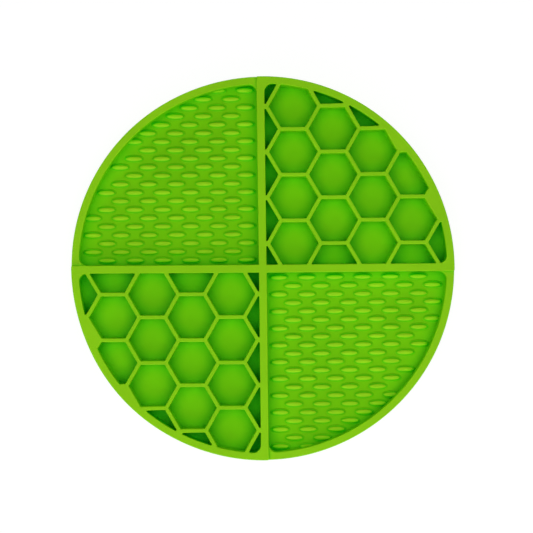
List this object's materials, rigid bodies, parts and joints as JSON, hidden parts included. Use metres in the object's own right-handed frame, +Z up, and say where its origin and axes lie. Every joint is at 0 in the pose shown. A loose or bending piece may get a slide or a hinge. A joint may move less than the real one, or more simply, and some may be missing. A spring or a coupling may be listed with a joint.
{
  "type": "lick mat",
  "caption": "Round soft lick mat: a cross of dividers splits it into quarters, two with deep honeycomb cells and two with low rice-grain nubs.",
  "frame": {"origin": "middle of the flat underside", "axes": "+Z up, out of the cells; +X and +Y along the dividers, with the honeycomb in the +X+Y and -X-Y quarters"},
  "size_m": [0.2, 0.2, 0.01],
  "materials": {
    "silicone": "satin"
  },
  "bodies": {
    "root": {"floor_disc": "silicone", "rim_ne": "silicone", "rim_nw": "silicone", "rim_sw": "silicone", "rim_se": "silicone", "divider_hub": "silicone", "divider_east": "silicone", "divider_north": "silicone", "divider_west": "silicone", "divider_south": "silicone", "honeycomb_ne": "silicone", "honeycomb_sw": "silicone", "nubs_nw": "silicone", "nubs_se": "silicone"}
  },
  "joints": []
}
